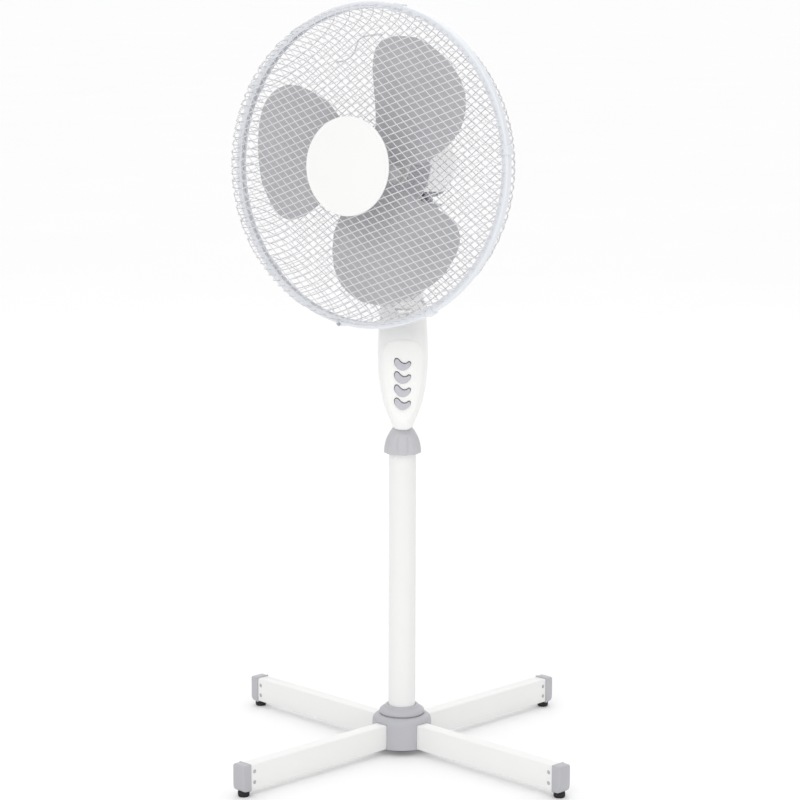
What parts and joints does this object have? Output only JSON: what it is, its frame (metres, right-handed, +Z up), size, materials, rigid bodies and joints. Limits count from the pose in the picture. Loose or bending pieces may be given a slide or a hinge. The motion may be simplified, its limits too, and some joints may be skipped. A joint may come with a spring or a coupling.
{
  "type": "pedestal fan",
  "caption": "Pedestal fan with a cross base, a telescopic column, a push-button control housing and an oscillating, tilting caged head with broad blades.",
  "frame": {"origin": "the point on the floor under the column's axis", "axes": "+Z up along the column; the buttons face -Y; the cross arms lie on the diagonals of X and Y"},
  "size_m": [0.4657, 0.4554, 1.0572],
  "materials": {
    "white_tube": "white powder coat",
    "white_plastic": "smooth, slightly glossy",
    "panel_plastic": "glossy",
    "grey_plastic": "fine matte",
    "light_grey_plastic": "fine matte",
    "button_grey": "semi gloss",
    "blade_grey": "semi matte",
    "white_wire": "white plastic coated wire",
    "band_plastic": "translucent looking white",
    "rubber": "matt black",
    "steel": "zinc plated",
    "tube_chrome": "bright",
    "black_plastic": "matt",
    "nylon": "natural nylon",
    "lamination": "laminated steel",
    "copper": "enamelled copper",
    "bronze": "sintered bronze",
    "casting": "as cast"
  },
  "bodies": {
    "base": {"cross_arm_lower": "white_tube", "cross_arm_upper": "white_tube", "arm_end_caps": "grey_plastic", "foot_pads": "rubber", "arm_rivets": "steel", "base_hub": "grey_plastic", "pole_collar": "grey_plastic", "base_bolt": "steel", "base_washer": "steel", "pole_plug": "casting", "outer_pole": "white_tube", "grip_sleeve": "black_plastic"},
    "lock_nut": {"lock_nut": "light_grey_plastic"},
    "control": {"inner_tube": "tube_chrome", "tube_bush": "black_plastic", "control_front_cover": "white_plastic", "control_rear_cover": "white_plastic", "control_panel": "panel_plastic", "switch_body": "black_plastic", "run_capacitor": "black_plastic", "control_screws": "steel", "tube_bolt": "steel", "cord_gland": "white_plastic", "tilt_bolt": "steel", "tilt_nut": "steel"},
    "button_off": {"button_off": "button_grey"},
    "button_low": {"button_low": "button_grey"},
    "button_medium": {"button_medium": "button_grey"},
    "button_high": {"button_high": "button_grey"},
    "neck": {"neck_bracket": "white_plastic", "swivel_bush": "nylon"},
    "motor_head": {"motor_front_housing": "white_plastic", "motor_rear_bell": "casting", "motor_cover": "white_plastic", "stator_core": "lamination", "stator_windings": "copper", "front_bearing": "bronze", "rear_bearing": "bronze", "gearbox_case": "casting", "gearbox_lid": "casting", "swivel_clip": "steel", "housing_screws": "steel", "rear_grille": "white_wire", "grille_lock_nut": "white_plastic", "front_grille": "white_wire", "rim_band": "band_plastic", "centre_badge": "white_plastic", "rim_clips": "band_plastic", "rim_screw": "steel"},
    "rotor": {"motor_shaft": "steel", "rotor_core": "lamination", "fan_blade": "blade_grey", "spinner_nut": "blade_grey"},
    "worm_wheel": {"worm_wheel": "nylon"},
    "crank": {"oscillation_gear": "nylon", "crank_disc": "steel"},
    "swing_link": {"swing_link": "steel"},
    "clutch_knob": {"clutch_knob": "white_plastic"}
  },
  "joints": [
    {"name": "height_slide", "type": "slide", "parent": "base", "child": "control", "axis": [0, 0, 1], "range_m": [0, 0.2]},
    {"name": "lock_nut_turn", "type": "hinge", "parent": "base", "child": "lock_nut", "pos_m": [0, 0, 0.4314], "axis": [0, 0, 1], "range_deg": [0, 90]},
    {"name": "press_off", "type": "slide", "parent": "control", "child": "button_off", "axis": [0, 1, 0], "range_m": [0, 0.0035], "stiffness_N_per_m": 500},
    {"name": "press_low", "type": "slide", "parent": "control", "child": "button_low", "axis": [0, 1, 0], "range_m": [0, 0.0035], "stiffness_N_per_m": 500},
    {"name": "press_medium", "type": "slide", "parent": "control", "child": "button_medium", "axis": [0, 1, 0], "range_m": [0, 0.0035], "stiffness_N_per_m": 500},
    {"name": "press_high", "type": "slide", "parent": "control", "child": "button_high", "axis": [0, 1, 0], "range_m": [0, 0.0035], "stiffness_N_per_m": 500},
    {"name": "tilt", "type": "hinge", "parent": "control", "child": "neck", "pos_m": [0, 0, 0.6458], "axis": [-1, 0, 0], "range_deg": [-9, 16]},
    {"name": "oscillate", "type": "hinge", "parent": "neck", "child": "motor_head", "pos_m": [0, 0.01301, 0.83185], "axis": [0, 0.0698, 0.9976], "range_deg": [-10.5, 74.5]},
    {"name": "blade_spin", "type": "hinge", "parent": "motor_head", "child": "rotor", "pos_m": [-0.04575, -0.05727, 0.83676], "axis": [-0.5446, -0.8366, 0.0585], "continuous": true},
    {"name": "worm_wheel_spin", "type": "hinge", "parent": "motor_head", "child": "worm_wheel", "pos_m": [0.01499, 0.05801, 0.8287], "axis": [0, 0.0698, 0.9976], "continuous": true},
    {"name": "crank_turn", "type": "hinge", "parent": "motor_head", "child": "crank", "pos_m": [0.03344, 0.04212, 0.77317], "axis": [0, 0.0698, 0.9976], "range_deg": [-158, 24]},
    {"name": "link_turn", "type": "hinge", "parent": "crank", "child": "swing_link", "pos_m": [0.04553, 0.05076, 0.76946], "axis": [0, 0.0698, 0.9976], "range_deg": [-24, 158]},
    {"name": "clutch_pull", "type": "slide", "parent": "motor_head", "child": "clutch_knob", "axis": [0, 0.0698, 0.9976], "range_m": [0, 0.006]}
  ],
  "couplings": [
    {"joint": "worm_wheel_spin", "follows": "blade_spin", "ratio": -0.041667},
    {"joint": "crank_turn", "follows": "oscillate", "ratio": -2.1},
    {"joint": "link_turn", "follows": "oscillate", "ratio": 2.1}
  ]
}
